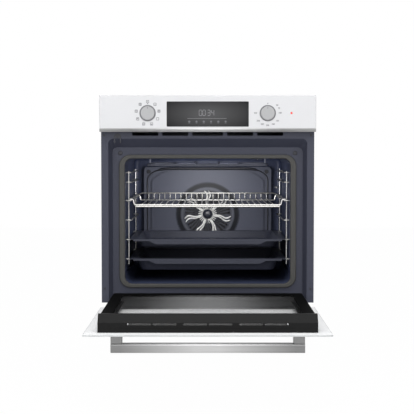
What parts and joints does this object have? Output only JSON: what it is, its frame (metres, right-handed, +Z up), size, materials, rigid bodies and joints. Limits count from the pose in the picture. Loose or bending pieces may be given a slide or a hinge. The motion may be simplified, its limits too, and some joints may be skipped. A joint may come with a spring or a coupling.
{
  "type": "wall oven",
  "caption": "Built-in wall oven with a drop-down glazed door, pop-out knobs, display, fan-cooled cavity, side racks, wire shelf and enamelled trays.",
  "frame": {"origin": "centre of the base face that rests on the cabinet shelf", "axes": "-Y out of the oven's front, +Z up, +X to the right seen from the front"},
  "size_m": [0.594, 1.023, 0.632],
  "materials": {
    "white_enamel": "gloss",
    "white_glass": "back-painted glass, gloss",
    "dark_enamel": "vitreous enamel, satin",
    "brushed_metal": "brushed",
    "chrome_wire": "polished",
    "knob_grey": "satin",
    "ring_grey": "satin",
    "display_dark": "gloss",
    "lamp_red": "gloss",
    "black_plastic": "satin",
    "clear_glass": "clear",
    "gasket_rubber": "matte",
    "galvanised": "galvanised",
    "hard_steel": "bright",
    "heater_steel": "heat-darkened",
    "bulb_glass": "frosted",
    "wool": "glass wool"
  },
  "bodies": {
    "chassis": {"control_fascia": "white_enamel", "front_frame": "dark_enamel", "cavity_liner": "dark_enamel", "fan_cover": "dark_enamel", "trim_strip": "brushed_metal", "side_racks": "chrome_wire", "knob_rings": "ring_grey", "display_window": "display_dark", "indicator_lens": "lamp_red", "door_switch_tab": "black_plastic", "panel_carrier": "black_plastic", "display_module": "black_plastic", "function_switch": "black_plastic", "temperature_switch": "black_plastic", "terminal_box": "black_plastic", "lamp_lens": "clear_glass", "door_gasket": "gasket_rubber", "base_plate": "galvanised", "side_panels": "galvanised", "top_cover": "galvanised", "back_cover": "galvanised", "blower_housing": "galvanised", "blower_motor": "galvanised", "air_duct": "galvanised", "steam_vent_pipe": "galvanised", "lamp_sleeve": "galvanised", "fan_motor": "galvanised", "hinge_receivers": "galvanised", "hinge_arms": "hard_steel", "fan_cover_screws": "hard_steel", "frame_screws": "hard_steel", "temperature_probe": "hard_steel", "ring_heater": "heater_steel", "grill_element": "heater_steel", "bottom_element": "heater_steel", "lamp_bulb": "bulb_glass", "insulation_wrap": "wool"},
    "door": {"door_outer_glass": "white_glass", "door_inner_pane": "clear_glass", "door_middle_pane": "clear_glass", "door_rails": "galvanised", "door_top_profile": "black_plastic", "door_bottom_profile": "black_plastic", "handle_bar": "brushed_metal", "handle_posts": "brushed_metal", "handle_screws": "hard_steel", "hinge_channels": "galvanised", "hinge_springs": "hard_steel", "hinge_pins": "hard_steel"},
    "shelf": {"wire_shelf": "chrome_wire"},
    "tray": {"shallow_tray": "dark_enamel"},
    "pan": {"deep_tray": "dark_enamel"},
    "convection_rotor": {"convection_impeller": "galvanised", "fan_shaft": "hard_steel", "impeller_nut": "hard_steel"},
    "cooling_rotor": {"blower_drum": "galvanised"},
    "function_shaft": {"function_spindle": "hard_steel"},
    "function_button": {"function_knob": "knob_grey"},
    "temperature_shaft": {"temperature_spindle": "hard_steel"},
    "temperature_button": {"temperature_knob": "knob_grey"}
  },
  "joints": [
    {"name": "door_hinge", "type": "hinge", "parent": "chassis", "child": "door", "pos_m": [0, -0.27175, 0.01825], "axis": [1, 0, 0], "range_deg": [-90, 0]},
    {"name": "shelf_slide", "type": "slide", "parent": "chassis", "child": "shelf", "axis": [0, -1, 0], "range_m": [0, 0.25]},
    {"name": "tray_slide", "type": "slide", "parent": "chassis", "child": "tray", "axis": [0, -1, 0], "range_m": [0, 0.3]},
    {"name": "pan_slide", "type": "slide", "parent": "chassis", "child": "pan", "axis": [0, -1, 0], "range_m": [0, 0.3]},
    {"name": "convection_spin", "type": "hinge", "parent": "chassis", "child": "convection_rotor", "pos_m": [0, 0.165, 0.2446], "axis": [0, 1, 0], "continuous": true},
    {"name": "cooling_spin", "type": "hinge", "parent": "chassis", "child": "cooling_rotor", "pos_m": [0, 0.159, 0.508], "axis": [1, 0, 0], "continuous": true},
    {"name": "function_turn", "type": "hinge", "parent": "chassis", "child": "function_shaft", "pos_m": [-0.1645, -0.285, 0.546], "axis": [0, 1, 0], "continuous": true},
    {"name": "function_push", "type": "slide", "parent": "function_shaft", "child": "function_button", "axis": [0, -1, 0], "range_m": [0, 0.014]},
    {"name": "temperature_turn", "type": "hinge", "parent": "chassis", "child": "temperature_shaft", "pos_m": [0.1645, -0.285, 0.546], "axis": [0, 1, 0], "range_deg": [0, 300]},
    {"name": "temperature_push", "type": "slide", "parent": "temperature_shaft", "child": "temperature_button", "axis": [0, -1, 0], "range_m": [0, 0.014]}
  ]
}
